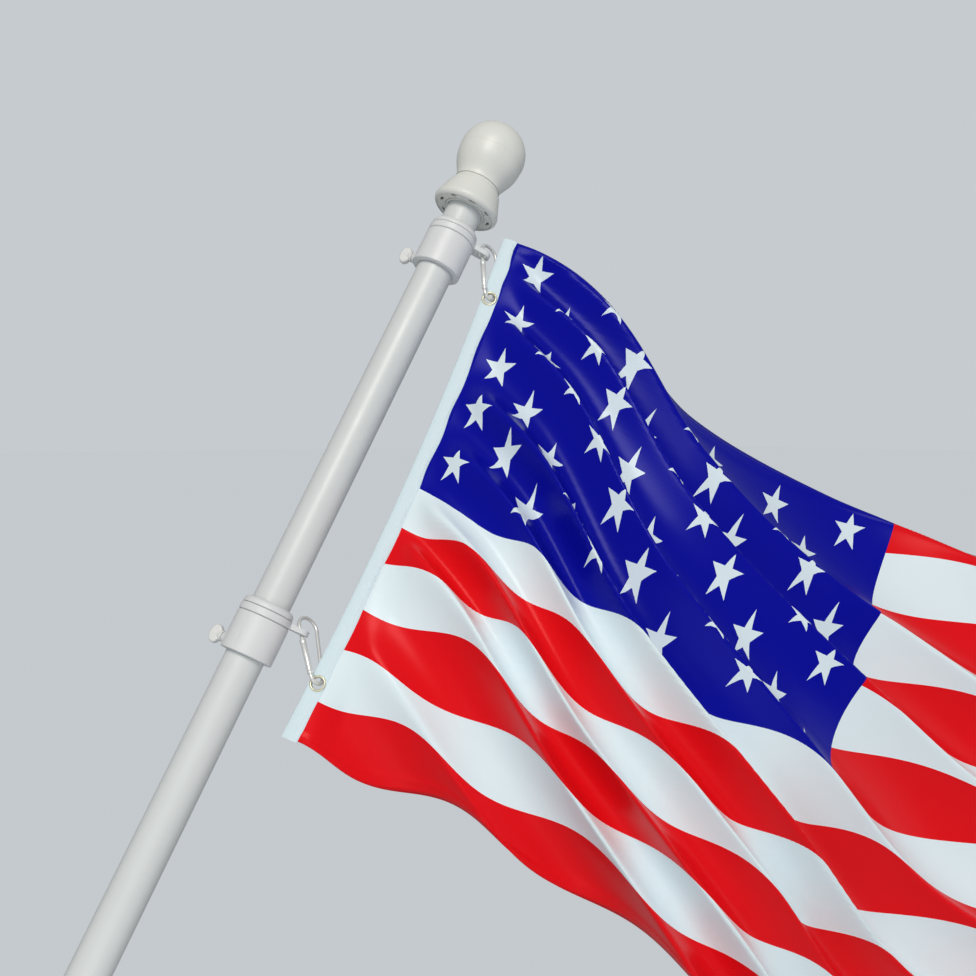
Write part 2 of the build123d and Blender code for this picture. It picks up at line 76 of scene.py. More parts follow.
def onPole(swivelAt, place):
    # point on the pole's line at one of the ring heights, for the ring that swivels there
    return swivelAt + along * (ringHeight[place] - ringHeight["swivel"]) * mm


def radial(turn):
    # direction out of the pole, turned in degrees from its underside
    return under * cos(radians(turn)) + side * sin(radians(turn))


def centreOf(node):
    low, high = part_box(node)
    return (low + high) / 2


def linear(code):
    # linear colour of an sRGB hex code
    channels = [int(code[i:i + 2], 16) / 255 for i in (1, 3, 5)]
    return [c / 12.92 if c <= 0.04045 else ((c + 0.055) / 1.055) ** 2.4 for c in channels] + [1.0]


def addNode(tree, kind, settings=None, links=None):
    # settings are the node's own properties or its sockets' values, links go into its sockets
    node = tree.nodes.new(kind)
    for name, value in (settings or {}).items():
        if isinstance(name, str) and hasattr(node, name) and name not in node.inputs:
            setattr(node, name, value)
        else:
            node.inputs[name].default_value = value
    for name, source in (links or {}).items():
        tree.links.new(source, node.inputs[name])
    return node


def maths(tree, operation, *values):
    node = addNode(tree, "ShaderNodeMath", {"operation": operation})
    for i, value in enumerate(values):
        if isinstance(value, (int, float)):
            node.inputs[i].default_value = value
        else:
            tree.links.new(value, node.inputs[i])
    return node.outputs[0]


def mixed(tree, factor, first, second):
    # a colour mix's two colours are its inputs 6 and 7, and its result is output 2
    node = addNode(tree, "ShaderNodeMix", {"data_type": "RGBA"})
    if isinstance(factor, float):
        node.inputs[0].default_value = factor
    else:
        tree.links.new(factor, node.inputs[0])
    for i, colour in ((6, first), (7, second)):
        if isinstance(colour, str):
            node.inputs[i].default_value = linear(colour)
        else:
            tree.links.new(colour, node.inputs[i])
    return node.outputs[2]


def startMaterial(name):
    material = bpy.data.materials.new(name)
    material.use_nodes = True
    tree = material.node_tree
    tree.nodes.clear()
    shader = addNode(tree, "ShaderNodeBsdfPrincipled")
    output = addNode(tree, "ShaderNodeOutputMaterial", links={"Surface": shader.outputs[0]})
    output.location = (300, 0)
    return material, tree, shader


def dress(obj, material):
    obj.data.materials.clear()
    obj.data.materials.append(material)


def makeObject(bm, name, material):
    mesh = bpy.data.meshes.new(name)
    bm.to_mesh(mesh)
    bm.free()
    obj = bpy.data.objects.new(name, mesh)
    bpy.context.scene.collection.objects.link(obj)
    mesh.materials.append(material)
    return obj


def settle(obj, body, sharpest=40):
    # smooth but for edges sharper than so many degrees, and on the body it rides on
    obj.data.shade_smooth()
    obj.data.set_sharp_from_angle(angle=radians(sharpest))
    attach(obj, body)


def finishPiece(bm, name, material, body, sharpest=40):
    obj = makeObject(bm, name, material)
    settle(obj, body, sharpest)
    return obj


def placing(origin, xAxis, zAxis):
    # matrix that takes a piece drawn at the origin, in mm, to its place
    yAxis = zAxis.cross(xAxis)
    turn = Matrix((xAxis, yAxis, zAxis)).transposed().to_4x4()
    return Matrix.Translation(origin) @ turn @ Matrix.Scale(mm, 4)


def turnAbout(bm, turn):
    bmesh.ops.rotate(bm, verts=bm.verts, cent=(0, 0, 0), matrix=Matrix.Rotation(turn, 3, "Z"))


def addTo(bm, part):
    mesh = bpy.data.meshes.new("part")
    part.to_mesh(mesh)
    part.free()
    bm.from_mesh(mesh)
    bpy.data.meshes.remove(mesh)


def spun(bm, outline, steps, closed=False):
    # outline of (radius, height) turned a full circle about z
    verts = [bm.verts.new((r, 0, z)) for r, z in outline]
    pairs = list(zip(verts, verts[1:])) + ([(verts[-1], verts[0])] if closed else [])
    edges = [bm.edges.new(pair) for pair in pairs]
    bmesh.ops.spin(bm, geom=verts + edges, cent=(0, 0, 0), axis=(0, 0, 1), angle=2 * pi, steps=steps,
                   use_merge=True)
    bmesh.ops.remove_doubles(bm, verts=bm.verts, dist=0.002)
    bmesh.ops.recalc_face_normals(bm, faces=bm.faces)


def cutAway(obj, cutters):
    # takes the cutters' shapes out of obj and deletes them
    for cutter in cutters:
        tool = obj.modifiers.new("cut", "BOOLEAN")
        tool.operation = "DIFFERENCE"
        tool.solver = "EXACT"
        tool.object = cutter
    bpy.context.view_layer.update()
    ready = obj.evaluated_get(bpy.context.evaluated_depsgraph_get())
    mesh = bpy.data.meshes.new_from_object(ready)
    obj.modifiers.clear()
    obj.data = mesh
    for cutter in cutters:
        bpy.data.objects.remove(cutter)


# Finishes
def grained(name, tones, cloud, roughness, wear, grain, rounding, ior=1.5):
    # a painted or moulded surface: two close tones in a soft cloud, a gloss that handling varies, a fine
    # grain of (size, depth, strength) and rounded edges; cloud, grain and rounding are in mm
    material, tree, shader = startMaterial(name)
    shader.inputs["IOR"].default_value = ior
    handled = 12  # mm between places that are handled more and less
    place = addNode(tree, "ShaderNodeTexCoord").outputs["Object"]
    tone = addNode(tree, "ShaderNodeTexNoise", {"Scale": 1 / (cloud * mm), "Detail": 4.0}, {"Vector": place})
    tree.links.new(mixed(tree, tone.outputs["Fac"], *tones), shader.inputs["Base Color"])
    touch = addNode(tree, "ShaderNodeTexNoise",
                    {"Scale": 1 / (handled * mm), "Detail": 6.0, "Roughness": 0.65}, {"Vector": place})
    gloss = addNode(tree, "ShaderNodeMapRange", {"From Min": 0.35, "From Max": 0.7, "To Min": roughness,
                                                 "To Max": roughness + wear}, {"Value": touch.outputs["Fac"]})
    tree.links.new(gloss.outputs[0], shader.inputs["Roughness"])
    size, depth, strength = grain
    peel = addNode(tree, "ShaderNodeTexNoise", {"Scale": 1 / (size * mm), "Detail": 2.0}, {"Vector": place})
    soft = addNode(tree, "ShaderNodeBevel", {"samples": 4, "Radius": rounding * mm})
    bump = addNode(tree, "ShaderNodeBump", {"Strength": strength, "Distance": depth * mm},
                   {"Height": peel.outputs["Fac"], "Normal": soft.outputs[0]})
    tree.links.new(bump.outputs["Normal"], shader.inputs["Normal"])
    return material


def metal(name, colour, roughness, streak, depth, metallic=1.0):
    # bare or plated metal: fine drawn or pressed marks, streak mm apart and depth mm deep, vary its gloss
    material, tree, shader = startMaterial(name)
    shader.inputs["Metallic"].default_value = metallic
    shader.inputs["Base Color"].default_value = linear(colour)
    place = addNode(tree, "ShaderNodeTexCoord").outputs["Object"]
    marks = addNode(tree, "ShaderNodeTexNoise", {"Scale": 1 / (streak * mm), "Detail": 4.0},
                    {"Vector": place})
    rough = addNode(tree, "ShaderNodeMapRange", {"To Min": roughness - 0.08, "To Max": roughness + 0.12},
                    {"Value": marks.outputs["Fac"]})
    tree.links.new(rough.outputs[0], shader.inputs["Roughness"])
    bump = addNode(tree, "ShaderNodeBump", {"Strength": 0.2, "Distance": depth * mm},
                   {"Height": marks.outputs["Fac"]})
    tree.links.new(bump.outputs["Normal"], shader.inputs["Normal"])
    return material


# polyester powder on aluminium tube: satin, with a fine orange peel
whiteTube = grained("powderCoatedTube", ("#D9DDDD", "#D2D6D6"), cloud=90, roughness=0.36, wear=0.08,
                    grain=(2.2, 0.02, 0.1), rounding=0.2)
# the same powder on a rougher casting
whiteCasting = grained("powderCoatedCasting", ("#DCDFE0", "#D3D6D8"), cloud=40, roughness=0.42, wear=0.12,
                       grain=(2.4, 0.08, 0.5), rounding=1.0)
# moulded ABS from a polished tool: satin, faintly warm in the finial and cool in the rings
finialAbs = grained("mouldedAbs", ("#E3E4DF", "#DDDFDA"), cloud=30, roughness=0.36, wear=0.1,
                    grain=(0.8, 0.03, 0.2), rounding=0.4, ior=1.53)
ringAbs = grained("mouldedAbsCool", ("#DFE1E2", "#D9DBDD"), cloud=30, roughness=0.38, wear=0.1,
                  grain=(0.8, 0.03, 0.2), rounding=0.4, ior=1.53)
# moulded nylon knobs: a little waxy and duller than the ABS
whiteNylon = grained("mouldedNylon", ("#E6E6E5", "#DCDDDD"), cloud=20, roughness=0.46, wear=0.1,
                     grain=(0.7, 0.03, 0.25), rounding=0.5, ior=1.53)
# spun polyester sewing thread: soft and matt
sewingThread = grained("polyesterThread", ("#E8EEF1", "#DDE5E9"), cloud=5, roughness=0.55, wear=0.1,
                       grain=(0.5, 0.03, 0.4), rounding=0.1)
# nickel plated spring wire and pale brass plated eyelets: hazy plating, so only partly metallic
steelWire = metal("nickelPlatedWire", "#E9EAE8", roughness=0.3, streak=6, depth=0.004, metallic=0.45)
paleBrass = metal("pressedBrass", "#DCDAC0", roughness=0.34, streak=3, depth=0.008, metallic=0.7)
# zinc plated screws: bright, with a fine pressed grain
screwSteel = metal("zincPlatedScrew", "#C9CCCE", roughness=0.34, streak=0.8, depth=0.02)

finishes = {"cast_bracket": whiteCasting, "white_tube": whiteTube, "white_plastic": ringAbs,
            "white_knob": whiteNylon, "bright_wire": steelWire, "brass_eyelet": paleBrass}
for part in frame["record"]["subparts"]:
    if part["material_slot"] in finishes:
        dress(nodes[part["node"]], finishes[part["material_slot"]])
for node in ("finial_base", "finial_ball"):
    dress(nodes[node], finialAbs)
print("hard parts dressed")

# Wall screws: countersunk in the bracket's plate, with a cross slot, each turned a little further
wallScrew = {"circle": 36, "turns": (-90, 30, 150), "plate": 6, "sunk": 0.1, "head": 4.95, "headEdge": 0.4,
             "edge": 0.15, "dome": 0.5, "cone": 2.7, "shank": 2.5, "foot": 0.4, "point": 0.6,
             "slotLong": 5.4, "slotWide": 1.1, "slotDeep": 2.2, "slotUp": 0.3, "slotFoot": 0.5,
             "slotMouth": 0.78, "turnEach": 0.4}


def makeWallScrew(number, turn):
    w = wallScrew
    top = w["plate"] - w["sunk"]
    dome = top + w["dome"]
    bm = bmesh.new()
    spun(bm, [(0, dome), (2, top + 0.85 * w["dome"]), (3.8, top + 0.45 * w["dome"]),
              (w["head"] - w["edge"], top + w["edge"] / 3), (w["head"], top - w["edge"]),
              (w["head"], top - w["headEdge"]), (w["shank"], top - w["cone"]),
              (w["shank"], w["foot"] + w["point"]), (w["shank"] - w["point"], w["foot"]), (0, w["foot"])], 40)
    screw = makeObject(bm, f"wallScrew{number}", screwSteel)
    slots = []
    for quarter in (0, 1):
        bm = bmesh.new()
        bmesh.ops.create_cone(bm, cap_ends=True, segments=4, radius1=w["slotFoot"], radius2=w["slotMouth"],
                              depth=1)
        turnAbout(bm, pi / 4)
        bmesh.ops.scale(bm, verts=bm.verts, vec=(w["slotLong"], w["slotWide"], w["slotDeep"]))
        turnAbout(bm, quarter * pi / 2 + w["turnEach"] * number)
        bmesh.ops.translate(bm, verts=bm.verts, vec=(0, 0, dome - w["slotDeep"] / 2 + w["slotUp"]))
        slots.append(makeObject(bm, "slot", screwSteel))
    cutAway(screw, slots)
    at = Vector((0, cos(radians(turn)), sin(radians(turn)))) * w["circle"] * mm
    screw.data.transform(placing(at, side, wallOut))
    settle(screw, "pole", 35)


for number, turn in enumerate(wallScrew["turns"]):
    makeWallScrew(number + 1, turn)

# Threads on the thumbscrews, where they show between boss and knob
screwThread = {"root": 2.42, "crest": 2.78, "pitch": 0.8, "crestHalf": 0.2, "around": 20}
clamp = {"bracketUp": 61, "spareOut": 41, "socketBoss": 21.5, "socketKnob": 29.4, "ringTurn": 122,
         "ringBoss": 20.0, "ringKnob": 21.2}
# each thread's start on the pole or socket, its direction, and its two ends from there in mm
threads = {
    "bracketThread": (hub + along * clamp["bracketUp"] * mm, side, clamp["socketBoss"], clamp["socketKnob"]),
    "spareThread": (hub + under * clamp["spareOut"] * mm, side, clamp["socketBoss"], clamp["socketKnob"])}
for name, swivelAt in (("upperRingThread", upperSwivel), ("lowerRingThread", lowerSwivel)):
    threads[name] = (onPole(swivelAt, "screw"), radial(clamp["ringTurn"]), clamp["ringBoss"],
                     clamp["ringKnob"])


def makeThread(name, origin, direction, start, end):
    root, crest, half = screwThread["root"], screwThread["crest"], screwThread["pitch"] / 2
    crestHalf = half * screwThread["crestHalf"]
    bm = bmesh.new()
    ridge = [bm.verts.new(p) for p in ((root, 0, start), (crest, 0, start + half - crestHalf),
                                       (crest, 0, start + half + crestHalf), (root, 0, start + 2 * half))]
    edges = [bm.edges.new(pair) for pair in zip(ridge, ridge[1:])]
    turns = (end - start) / screwThread["pitch"]
    steps = round(turns * screwThread["around"])
    bmesh.ops.spin(bm, geom=ridge + edges, cent=(0, 0, 0), axis=(0, 0, 1), angle=2 * pi * turns, steps=steps,
                   dvec=(0, 0, (end - start) / steps))
    bmesh.ops.remove_doubles(bm, verts=bm.verts, dist=0.001)
    bmesh.ops.recalc_face_normals(bm, faces=bm.faces)
    bmesh.ops.transform(bm, verts=bm.verts, matrix=placing(origin, along, direction))
    finishPiece(bm, name, whiteNylon, "pole")


for name, (origin, direction, start, end) in threads.items():
    makeThread(name, origin, direction, start, end)

# Parting lines that the moulds leave on the finial's ball and the rings' sleeves
seam = {"proud": 0.16, "round": 0.3, "ballR": 23.8, "ballAbove": 49.6, "ballTurn": 60, "sleeveR": 17.3,
        "sleeveHigh": 24.4, "sleeveTurns": (32, 212)}
rim = onPole(upperSwivel, "finialRim")


def makeBallSeam():
    centre = seam["ballR"] - seam["round"] + seam["proud"]
    outline = [(centre + seam["round"] * cos(k * pi / 4), seam["round"] * sin(k * pi / 4)) for k in range(8)]
    bm = bmesh.new()
    spun(bm, outline, 96, closed=True)
    middle = rim + along * seam["ballAbove"] * mm
    bmesh.ops.transform(bm, verts=bm.verts, matrix=placing(middle, along, radial(seam["ballTurn"])))
    finishPiece(bm, "finialBallSeam", finialAbs, "pole", 80)


def makeSleeveSeam(name, swivelAt):
    bm = bmesh.new()
    for turn in seam["sleeveTurns"]:
        made = bmesh.ops.create_cone(bm, cap_ends=True, segments=8, radius1=seam["round"],
                                     radius2=seam["round"], depth=seam["sleeveHigh"])
        out = radial(turn) * (seam["sleeveR"] - seam["round"] + seam["proud"]) * mm
        middle = onPole(swivelAt, "sleeveMiddle") + out
        bmesh.ops.transform(bm, verts=made["verts"], matrix=placing(middle, radial(turn), along))
    finishPiece(bm, name, ringAbs, "pole")


makeBallSeam()
makeSleeveSeam("upperSleeveSeam", upperSwivel)
makeSleeveSeam("lowerSleeveSeam", lowerSwivel)

# Finial's underside: a moulded floor between socket and rim, with drain slots
finialFloor = {"inner": 14.9, "outer": 21.25, "low": 0.9, "high": 2.3, "chamfer": 0.3, "slots": 8,
               "slotAt": 18.2, "slotLong": 5.6, "slotWide": 2.0, "slotRound": 0.8, "cutterHigh": 6}


def makeFinialFloor():
    f = finialFloor
    bm = bmesh.new()
    spun(bm, [(f["inner"], f["high"]), (f["inner"], f["low"] + f["chamfer"]),
              (f["inner"] + f["chamfer"], f["low"]), (f["outer"], f["low"]), (f["outer"], f["high"])], 96,
         closed=True)
    floor = makeObject(bm, "finialFloor", finialAbs)
    slots = []
    for number in range(f["slots"]):
        bm = bmesh.new()
        bmesh.ops.create_cube(bm, size=1)
        bmesh.ops.scale(bm, verts=bm.verts, vec=(f["slotWide"], f["slotLong"], f["cutterHigh"]))
        upright = [e for e in bm.edges if abs(e.verts[0].co.z - e.verts[1].co.z) > 1]
        bmesh.ops.bevel(bm, geom=upright, offset=f["slotRound"], segments=3, affect="EDGES")
        bmesh.ops.translate(bm, verts=bm.verts, vec=(f["slotAt"], 0, f["low"]))
        turnAbout(bm, 2 * pi * (number + 0.5) / f["slots"])
        slots.append(makeObject(bm, "slot", finialAbs))
    cutAway(floor, slots)
    floor.data.transform(placing(rim, radial(0), along))
    settle(floor, "pole", 30)


# The ball runs down into its neck in one soft sweep: (radius, height above the rim), mm
ballFoot = [(23.62, 46.6), (23.5, 44), (23.1, 41), (22.4, 38), (21.3, 35), (19.9, 32), (18.4, 29),
            (17.3, 26.5), (16.85, 24.5), (16.9, 22.9), (15.5, 22.9), (15.5, 34), (20, 45)]


def makeBallFoot():
    bm = bmesh.new()
    spun(bm, ballFoot, 96, closed=True)
    bmesh.ops.transform(bm, verts=bm.verts, matrix=placing(rim, radial(0), along))
    finishPiece(bm, "finialBallFoot", finialAbs, "pole")


makeFinialFloor()
makeBallFoot()

# Snap gates: a rolled sleeve over the wire, cheeks and a rivet at the hinge, and a nose at the other end
snapFitting = {"cheekR": 1.95, "cheekLong": 3.6, "hingeOut": 0.2, "rivetR": 0.75, "rivetWide": 4.5,
               "noseR": 1.9, "noseLong": 2.2, "noseOut": 0.1, "sleeveR": 1.8, "sleeveShort": 1.6, "soft": 0.3}


def lengthwise(node):
    # middle, direction and half length of a straight node
    points = np.array([v.co for v in nodes[node].data.vertices])
    middle = points.mean(axis=0)
    direction = np.linalg.svd(points - middle, full_matrices=False)[2][0]
    reach = (points - middle) @ direction
    half = (reach.max() - reach.min()) / 2
    return Vector(middle + direction * (reach.max() + reach.min()) / 2), Vector(direction), half


def barrel(bm, radius, length, matrix):
    # short round bar with softened ends
    soft = snapFitting["soft"]
    edge = radius * soft
    end = [(radius, length / 2 - edge), (radius - soft * edge, length / 2 - soft * edge),
           (radius - edge, length / 2), (0, length / 2)]
    part = bmesh.new()
    spun(part, [(r, -z) for r, z in end[::-1]] + end, 24)
    bmesh.ops.transform(part, verts=part.verts, matrix=matrix)
    addTo(bm, part)


def makeSnapFitting(level, body):
    s = snapFitting
    middle, direction, half = lengthwise(f"{level}_snap_gate")
    if direction.dot(along) < 0:
        direction = -direction
    inward = centreOf(f"{level}_snap") - middle
    across = (inward - direction * inward.dot(direction)).normalized()
    hinge = middle + direction * (half + s["hingeOut"] * mm)
    nose = middle - direction * (half + s["noseOut"] * mm)
    bm = bmesh.new()
    barrel(bm, s["cheekR"], s["cheekLong"], placing(hinge, across, direction))
    barrel(bm, s["rivetR"], s["rivetWide"], placing(hinge, across, direction.cross(across)))
    barrel(bm, s["noseR"], s["noseLong"], placing(nose, across, direction))
    barrel(bm, s["sleeveR"], 2 * half / mm - s["sleeveShort"], placing(middle, across, direction))
    finishPiece(bm, f"{level}SnapFitting", steelWire, body)


makeSnapFitting("upper", "flag_and_upper_ring")
makeSnapFitting("lower", "lower_ring")
print("screws, threads, parting lines, finial and snap fittings made")

# Flag, in mm of cut cloth: t runs out along the fly and s down the hoist. It blows so far along the pole's
# own under, side and along directions
flag = {"fly": 830.0, "eyeFromTop": 47.5, "eyeFromFoot": 38.0, "start": 9.4, "easeFrom": 8.0, "easeTo": 32.0,
        "blows": (0.62, -0.73, -0.27), "thick": 0.5, "hemThick": 1.0, "hem": 6.0, "flyHem": 12.0,
        "besideHem": 0.6, "columns": 290, "rows": 126}
# Print: the canton is this much of the hoist, a star this much, and every second half column and half row
# has stars
pattern = {"stripes": 13, "cantonWide": 350.0, "cantonShare": 7 / 13, "halfColumns": 12, "halfRows": 10,
           "starAcross": 0.0616, "red": "#E3121B", "white": "#E2F0F6", "blue": "#0A0E98",
           "starWhite": "#DCEAF2"}
# How far the print is from lying straight on the cloth, mm: it is drawn up near the hoist but not at its
# foot, hangs lower in mid-hoist beyond the canton, and lower again round one place
offPrint = {"rise": 9.0, "riseOver": 120, "headShare": 0.7, "headOver": 100, "sag": 5.0, "dip": 12.0,
            "dipOut": 85, "dipDown": 200, "dipLong": 40, "dipDeep": 22}
# Heading tape, mm: a soft flat tube down the hoist, pinched by its eyelets, its edge bowed between them
tape = {"wide": 11.5, "ripple": 1.5, "half": 1.25, "pinched": 0.75, "pinch": 14.0, "bow": 4.0,
        "eyeFromEdge": 5.75, "hole": 4.42, "edgeRound": 0.8, "crown": 0.9, "around": 32, "rows": 186}
# Three lines that the cloth follows out from the hoist, by how far down it each starts:
# (out along the cloth, out, down, towards the eye), mm
guides = {
    0: [(0, -3, 0, 0), (80, 80, 14, -15), (180, 162, 54, -62), (300, 264, 78, -108),
        (450, 414, 60, -122), (640, 584, 60, -170), (830, 748, 63, -230)],
    199: [(0, 4, 199, 0), (80, 81, 200, 12), (180, 175, 238, 12), (300, 280, 257, -28),
          (450, 394, 260, -114), (640, 572, 234, -178), (830, 754, 217, -250)],
    370: [(0, -2, 370, 0), (80, 73, 372, -24), (180, 171, 380, -52), (300, 286, 412, -76),
          (450, 404, 436, -140), (640, 578, 386, -200), (830, 754, 350, -262)]}
# Each fold's ridge: how far down the cloth it lies at the hoist, mid-flag and the fly, and its height, mm
ridges = [(-260, -180, -90, 8), (-205, -120, -30, 8), (-150, -60, 45, 8), (-95, 5, 108, 7), (-8, 88, 165, 9),
          (20, 137, 240, 8), (50, 208, 310, 8), (109, 261, 380, 12), (150, 297, 430, 6), (193, 342, 480, 9),
          (222, 388, 560, 11), (290, 460, 620, 8), (360, 540, 700, 8), (430, 610, 770, 8)]
# where along the fly the ridges' middle places are, how peaked they are, how far they lean, how soon they grow
fold = {"mid": 350.0, "sharp": 0.115, "lean": 0.5, "grow": 50.0}

# The hoist's own directions: out from the pole, down along it, and towards the eye
upperEye, lowerEye = centreOf("upper_grommet"), centreOf("lower_grommet")
down = (lowerEye - upperEye).normalized()
blows = sum((axis * share for axis, share in zip((under, side, along), flag["blows"])), Vector()).normalized()
offPole = blows - along * blows.dot(along)
out = (offPole - down * offPole.dot(down)).normalized()
face = out.cross(-down)
flagAxes = np.array([out, down, face])
eyeGap = (lowerEye - upperEye).length / mm
eyesDown = (flag["eyeFromTop"], flag["eyeFromTop"] + eyeGap)
hoist = flag["eyeFromTop"] + eyeGap + flag["eyeFromFoot"]
hoistTop = upperEye - out * tape["eyeFromEdge"] * mm - down * flag["eyeFromTop"] * mm


def eased(x, start, end):
    # 0 before start and 1 after end, smooth between
    u = np.clip((x - start) / (end - start), 0, 1)
    return u * u * (3 - 2 * u)


def lineAt(t, points):
    # smooth line through points that start with their place along it
    table = np.array(points, float)
    stations, places = table[:, 0], table[:, 1:]
    slopes = np.gradient(places, stations, axis=0)
    i = np.clip(np.searchsorted(stations, t, side="right") - 1, 0, len(stations) - 2)
    gap = (stations[i + 1] - stations[i])[:, None]
    x = (t - stations[i])[:, None] / gap
    return ((2 * x ** 3 - 3 * x ** 2 + 1) * places[i] + (x ** 3 - 2 * x ** 2 + x) * gap * slopes[i]
            + (3 * x ** 2 - 2 * x ** 3) * places[i + 1] + (x ** 3 - x ** 2) * gap * slopes[i + 1])


def throughThree(at, places, values):
    # value at a place on the parabola through three places' values
    a, b, c = places
    return (values[0] * ((at - b) * (at - c) / ((a - b) * (a - c)))
            + values[1] * ((at - a) * (at - c) / ((b - a) * (b - c)))
            + values[2] * ((at - a) * (at - b) / ((c - a) * (c - b))))


def baseAt(t, s):
    # the flag without its folds: across the hoist it bends through the three guide lines
    lines = [lineAt(t, points) for points in guides.values()]
    return throughThree(s[:, None], list(guides), lines)


def betweenRidges(t, s):
    # number of the ridge above, distance to the next, and how far towards it
    rows = np.array([throughThree(t, (0, fold["mid"], flag["fly"]), ridge[:3]) for ridge in ridges])
    k = np.clip((rows <= s).sum(axis=0) - 1, 0, len(ridges) - 2)
    pick = np.arange(len(t))
    gap = rows[k + 1, pick] - rows[k, pick]
    return k, gap, (s - rows[k, pick]) / gap


def clothAt(t, s):
    # where the folded cloth lies: out, down and towards the eye from the hoist's top, in mm
    k, gap, u = betweenRidges(t, s)
    heights = np.array([ridge[3] for ridge in ridges], float)
    ease = (1 - np.cos(pi * u)) / 2
    grow = 1 - np.exp(-t / fold["grow"])
    rise = (heights[k] * (1 - ease) + heights[k + 1] * ease) * grow * np.cos(2 * pi * u)
    slide = -fold["sharp"] * gap * grow * np.sin(2 * pi * u) - fold["lean"] * rise
    base = baseAt(t, s)
    alongFly = baseAt(t + 1, s) - base
    alongHoist = baseAt(t, s + 1) - base
    alongHoist /= np.linalg.norm(alongHoist, axis=1, keepdims=True)
    normal = np.cross(alongFly, alongHoist)
    normal /= np.linalg.norm(normal, axis=1, keepdims=True)
    places = base + normal * rise[:, None] + alongHoist * slide[:, None]
    places[:, 2] *= eased(t, flag["easeFrom"], flag["easeTo"])  # it leaves the tape in the tape's plane
    return places


def printAt(t, s):
    # which row of the print, in mm down, is at a place on the cloth
    p = offPrint
    across = np.clip(t / pattern["cantonWide"], 0, 1)
    head = p["headShare"] + (1 - p["headShare"]) * np.clip(s / p["headOver"], 0, 1)
    rise = p["rise"] * eased(hoist - s, 0, p["riseOver"]) * head * (1 - across)
    dipT, dipS = (t - p["dipOut"]) / p["dipLong"], (s - p["dipDown"]) / p["dipDeep"]
    dip = p["dip"] * np.exp(-dipT ** 2 - dipS ** 2)
    return s + rise - dip - p["sag"] * across * np.sin(pi * s / hoist)


def fromEyes(s):
    # 0 at either eyelet, 1 away from them
    away = np.minimum(abs(s - eyesDown[0]), abs(s - eyesDown[1]))
    return 1 - np.exp(-(away / tape["pinch"]) ** 2)


def tapeWide(s):
    # the folds pucker the seam between tape and cloth
    u = betweenRidges(np.full(len(s), flag["start"]), s)[2]
    return tape["wide"] - tape["ripple"] * np.sin(pi * u) ** 2 * fromEyes(s)


def tapeHalf(s):
    # half the tape's thickness: soft and full, pinched by the eyelets
    return tape["pinched"] + (tape["half"] - tape["pinched"]) * fromEyes(s)


def tapeAt(w, s):
    # the tape's middle plane, w across from its free edge, which is drawn out between the two eyelets
    middle = sum(eyesDown) / 2
    edge = tape["bow"] * (1 - ((s - middle) / (eyeGap / 2)) ** 2)
    return np.stack([edge + w, s, 0 * s], axis=1)


def inWorld(points):
    return np.array(hoistTop) + (points * mm) @ flagAxes


def starField(tree, column, row, first):
    # stars in every second half column and half row from the first: 1 inside one of them, 0 outside
    def calc(operation, *values):
        return maths(tree, operation, *values)

    def fromStar(place, pitch):
        # mm from the middle of the nearest star
        cell = calc("FRACT", calc("MULTIPLY", calc("ADD", place, 3.0 - first), 0.5))
        return calc("MULTIPLY", calc("SUBTRACT", cell, 0.5), pitch)

    def within(place, halves):
        # 1 where the canton still has stars this way
        away = calc("ABSOLUTE", calc("SUBTRACT", place, halves / 2))
        return calc("LESS_THAN", away, halves / 2 + 1.0 - first)

    dx = fromStar(column, 2 * pattern["cantonWide"] / pattern["halfColumns"])
    dy = fromStar(row, 2 * hoist * pattern["cantonShare"] / pattern["halfRows"])
    # the angle from a star's middle is folded over, so that one straight edge makes all ten
    folded = calc("PINGPONG", calc("ARCTAN2", dx, calc("MULTIPLY", dy, -1.0)), pi / 5)
    reach = calc("SQRT", calc("ADD", calc("MULTIPLY", dx, dx), calc("MULTIPLY", dy, dy)))
    edge = calc("MULTIPLY", reach, calc("COSINE", calc("SUBTRACT", folded, 2 * pi / 5)))
    tip = pattern["starAcross"] / 2 * hoist
    inside = calc("LESS_THAN", edge, tip * cos(2 * pi / 5))
    inField = calc("MULTIPLY", within(column, pattern["halfColumns"]), within(row, pattern["halfRows"]))
    return calc("MULTIPLY", inside, inField)


def weaveBump(tree, shader, uv, spacing, strength, depth):
    # over and under threads, spacing mm apart: a wave has 20 radians a unit at scale 1, and takes two threads
    scale = pi / (20 * spacing * mm)
    warp, weft = (addNode(tree, "ShaderNodeTexWave", {"bands_direction": way, "Scale": scale},
                          {"Vector": uv.outputs["UV"]}) for way in ("X", "Y"))
    height = maths(tree, "MULTIPLY", warp.outputs["Fac"], weft.outputs["Fac"])
    bump = addNode(tree, "ShaderNodeBump", {"Strength": strength, "Distance": depth * mm}, {"Height": height})
    tree.links.new(bump.outputs["Normal"], shader.inputs["Normal"])


